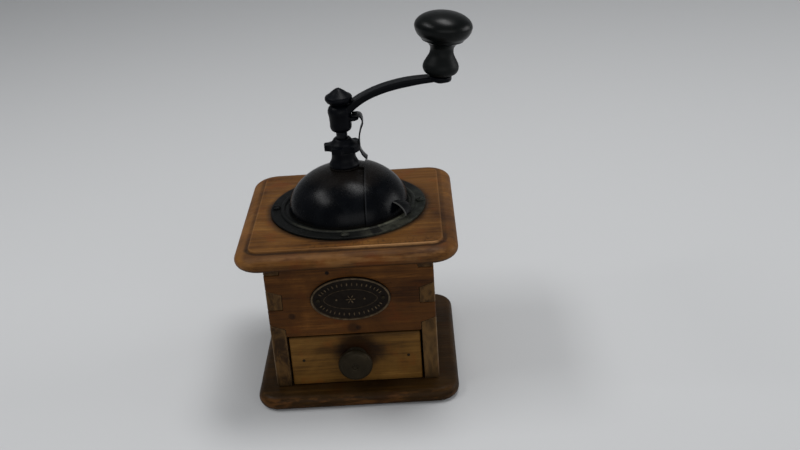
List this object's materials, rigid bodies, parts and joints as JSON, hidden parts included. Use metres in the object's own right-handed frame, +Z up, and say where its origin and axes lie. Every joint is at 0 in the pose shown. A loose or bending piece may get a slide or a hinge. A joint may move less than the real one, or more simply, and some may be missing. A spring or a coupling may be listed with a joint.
{
  "type": "manual coffee grinder",
  "caption": "Wooden box coffee mill: side crank with turned knob over a domed hopper with a turning door, conical burrs with a notched adjusting nut, and a drawer for the grounds.",
  "frame": {"origin": "centre of the base board's underside, where the mill stands", "axes": "+Z up along the shaft; -Y to the front with the drawer; +X to the right, where the stored crank points"},
  "size_m": [0.1564, 0.14, 0.2419],
  "materials": {
    "wood_base": "very dark brown stained wood, satin",
    "wood_case": "aged brown wood, satin, with end grain on the corner fingers",
    "wood_top": "aged orange brown wood, worn satin",
    "wood_drawer": "aged honey brown wood, satin",
    "wood_inside": "bare unstained wood",
    "black_enamel": "satin black paint on iron",
    "black_lacquer": "turned wood in black lacquer, soft gloss",
    "dark_iron": "darkened iron, satin",
    "burr_iron": "bare cast iron",
    "bare_steel": "bare steel, dull",
    "bronze": "dark patinated brass with a worn rim"
  },
  "bodies": {
    "case": {"base_board": "wood_base", "left_wall": "wood_case", "right_wall": "wood_case", "front_panel": "wood_case", "back_panel": "wood_case", "top_board": "wood_top", "hopper_bowl": "dark_iron", "flange_screw_1": "dark_iron", "flange_screw_2": "dark_iron", "flange_screw_3": "dark_iron", "flange_screw_4": "dark_iron", "dome_cover": "black_enamel", "bearing_pillar": "black_enamel", "outer_burr": "burr_iron", "burr_bolt_1": "bare_steel", "burr_bolt_2": "bare_steel", "burr_bolt_3": "bare_steel", "bearing_bridge": "dark_iron", "bridge_screw_left": "bare_steel", "bridge_screw_right": "bare_steel", "badge_plate": "bronze", "badge_nail_left": "bronze", "badge_nail_right": "bronze"},
    "crank": {"shaft": "bare_steel", "inner_burr": "burr_iron", "burr_nut": "bare_steel", "spring_washer": "bare_steel", "burr_spring": "bare_steel", "crank_arm": "black_enamel", "cap_nut": "black_enamel", "latch_rivet": "bare_steel", "knob_pin": "bare_steel"},
    "knob": {"handle_knob": "black_lacquer"},
    "adjuster": {"adjusting_nut": "black_enamel"},
    "latch": {"latch_spring": "bare_steel"},
    "door": {"hopper_door": "black_enamel"},
    "drawer": {"drawer_front": "wood_drawer", "drawer_left_side": "wood_inside", "drawer_right_side": "wood_inside", "drawer_back": "wood_inside", "drawer_bottom": "wood_inside", "drawer_knob": "dark_iron", "drawer_knob_screw": "bare_steel"}
  },
  "joints": [
    {"name": "crank_turn", "type": "hinge", "parent": "case", "child": "crank", "pos_m": [0, 0, 0.1686], "axis": [0, 0, 1], "continuous": true},
    {"name": "knob_spin", "type": "hinge", "parent": "crank", "child": "knob", "pos_m": [0.065, 0, 0.19999], "axis": [0.1132, 0, 0.9936], "continuous": true},
    {"name": "adjuster_turn", "type": "hinge", "parent": "crank", "child": "adjuster", "pos_m": [0, 0, 0.1556], "axis": [0, 0, 1], "range_deg": [-144, 144], "deforming": ["latch_spring"]},
    {"name": "latch_flex", "type": "hinge", "parent": "crank", "child": "latch", "pos_m": [0.0094, 0, 0.17919], "axis": [0, -1, 0], "range_deg": [0, 7], "stiffness_Nm_per_rad": 0.05},
    {"name": "hopper_door_turn", "type": "hinge", "parent": "case", "child": "door", "pos_m": [0, 0, 0.1438], "axis": [0, 0, 1], "range_deg": [0, 90]},
    {"name": "drawer_slide", "type": "slide", "parent": "case", "child": "drawer", "axis": [0, -1, 0], "range_m": [0, 0.075]}
  ]
}
